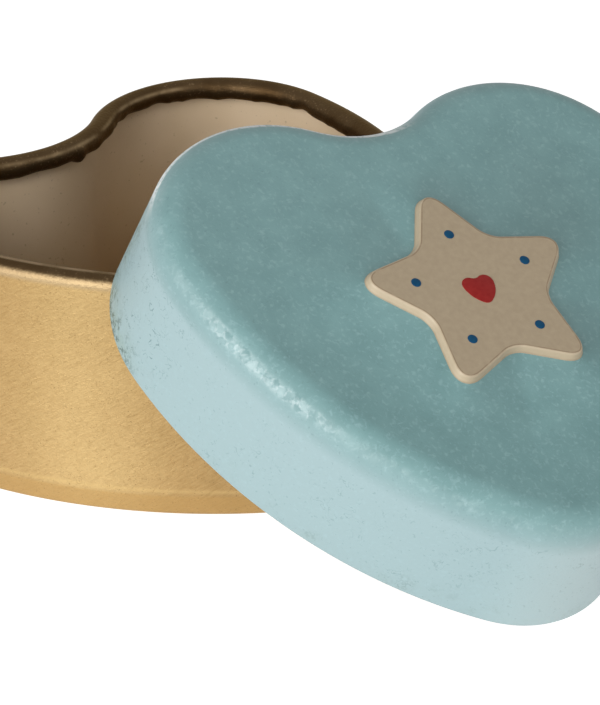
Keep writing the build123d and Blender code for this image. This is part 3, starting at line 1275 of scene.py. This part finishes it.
bm = bmesh.new()
sweep_section(bm, [(0, 0)], 0, HEART_STEP)
bmesh.ops.remove_doubles(bm, verts=bm.verts[:], dist=SEAM_GAP)
middle = sum((vert.co for vert in bm.verts), Vector()) / len(bm.verts)
shrink = Matrix.Scale(HEART_WIDTH / base_width, 4) @ Matrix.Translation(-middle)
bm.transform(Matrix.Translation((0, -STAR_DROP, print_floor)) @ shrink)
heart = bmesh.ops.contextual_create(bm, geom=bm.edges[:])["faces"]
raise_print(bm, heart)
red_print = printed_enamel("red_ink", "86201F", "922A27", 1.2)
star_heart = new_piece("star_heart", bm, [red_print], lid_place)
smooth(star_heart)
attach(star_heart, "lid")

# %% [markdown]
# The floor is plain and pale. For the camera, and for what polished metal shows, it glows to white,
# and under that glow it keeps a diffuse part, so that the tin's own soft shadow still reads.

# %% The floor
FLOOR_SIZE = 1.6
FLOOR_DROP = 0.02 * MM


def seen_directly(tree):
    """1 for rays from the camera, or from a mirror or glass, and 0 for light that bounces."""
    path = add(tree, "ShaderNodeLightPath")
    kinds = ("Is Camera Ray", "Is Glossy Ray", "Is Transmission Ray")
    return either(tree, *[path.outputs[kind] for kind in kinds])


def pale_floor():
    """A pale matt card that reads white and keeps a shadow."""
    material, tree = new_material("pale_card")
    card = add(tree, "ShaderNodeBsdfDiffuse", {"Color": colour("BFBFBF")})
    level = add(
        tree, "ShaderNodeMapRange", {"Value": seen_directly(tree), "To Min": 0.3, "To Max": 0.88}
    )
    glow = add(tree, "ShaderNodeEmission", {"Color": colour("FFFFFF"), "Strength": level.outputs[0]})
    total = add(tree, "ShaderNodeAddShader", {0: card.outputs[0], 1: glow.outputs[0]})
    return finish_material(material, total.outputs[0])


bm = bmesh.new()
bmesh.ops.create_grid(bm, x_segments=2, y_segments=2, size=FLOOR_SIZE / 2)
floor = new_piece("floor", bm, [pale_floor()], Matrix.Translation((0, 0, -FLOOR_DROP)))

# %% [markdown]
# The light is one wide softbox at the left, which stands on the table. Its low part fills the walls,
# and its high part grazes the tops and reaches in under the far rim. A weaker one at the front right
# lifts the lid's tip, and a long narrow strip, level and high above the front, lifts the shadows. The
# room around them is dim and even.

# %% Lights and world
ROOM_GLOW = 0.12
KEY_LONG = 0.6
KEY_TALL = 0.44
KEY_FAR = 0.62
KEY_WATTS = 4.2
KEY_AZIMUTH = math.radians(184)
KEY_HEIGHT = math.radians(19)
FILL_LONG = 0.7
FILL_TALL = 0.5
FILL_FAR = 1.1
FILL_WATTS = 4.0
FILL_AZIMUTH = math.radians(262)
FILL_HEIGHT = math.radians(8)
TOP_LONG = 1.2
TOP_TALL = 0.2
TOP_FAR = 0.6
TOP_WATTS = 0.75
TOP_AZIMUTH = math.radians(255)
TOP_HEIGHT = math.radians(46)
middle_of_tin = (cad_low + cad_high) / 2


def add_softbox(name, azimuth, height, far, long, tall, watts):
    """A rectangular softbox that looks at the tin's middle, its long side level."""
    lamp = bpy.data.lights.new(name, "AREA")
    lamp.shape = "RECTANGLE"
    lamp.size = long
    lamp.size_y = tall
    lamp.energy = watts
    softbox = bpy.data.objects.new(name, lamp)
    level = math.cos(height)
    back = Vector((level * math.cos(azimuth), level * math.sin(azimuth), math.sin(height)))
    softbox.location = middle_of_tin + back * far
    softbox.rotation_euler = back.to_track_quat("Z", "Y").to_euler()
    bpy.context.scene.collection.objects.link(softbox)
    print(name, "softbox", round(far / MM), "mm away, at", watts, "watts")


add_softbox("key", KEY_AZIMUTH, KEY_HEIGHT, KEY_FAR, KEY_LONG, KEY_TALL, KEY_WATTS)
add_softbox("fill", FILL_AZIMUTH, FILL_HEIGHT, FILL_FAR, FILL_LONG, FILL_TALL, FILL_WATTS)
add_softbox("overhead", TOP_AZIMUTH, TOP_HEIGHT, TOP_FAR, TOP_LONG, TOP_TALL, TOP_WATTS)

world = bpy.data.worlds.new("studio")
world.use_nodes = True
tree = world.node_tree
tree.nodes.clear()
level = add(
    tree, "ShaderNodeMapRange", {"Value": seen_directly(tree), "To Min": ROOM_GLOW, "To Max": 1.0}
)
room = add(tree, "ShaderNodeBackground", {"Color": colour("FFFFFF"), "Strength": level.outputs[0]})
add(tree, "ShaderNodeOutputWorld", {"Surface": room.outputs[0]})
bpy.context.scene.world = world

# %% [markdown]
# The camera stands a little under 400 mm away, to the left and in front, and looks down by about 26
# degrees. Its long lens is what a product shot of something this small needs.

# %% The camera
CAMERA_PLACE = Vector((-257.093, -236.892, 171.127)) * MM
CAMERA_TARGET = Vector((14.94, -6.245, 0)) * MM
LENS = 226.857
SENSOR = 36.0
CLIP_START = 10 * MM

camera_data = bpy.data.cameras.new("camera")
camera_data.lens = LENS
camera_data.sensor_width = SENSOR
camera_data.sensor_fit = "AUTO"
camera_data.clip_start = CLIP_START
camera = bpy.data.objects.new("camera", camera_data)
camera.location = CAMERA_PLACE
camera.rotation_euler = (CAMERA_TARGET - CAMERA_PLACE).to_track_quat("-Z", "Y").to_euler()
bpy.context.scene.collection.objects.link(camera)
bpy.context.scene.camera = camera
bpy.context.scene.view_settings.view_transform = "Standard"
print("camera", round((CAMERA_TARGET - CAMERA_PLACE).length / MM), "mm from what it looks at")

# %% Sizes, and the end
print("CAD box", cad_low, cad_high)
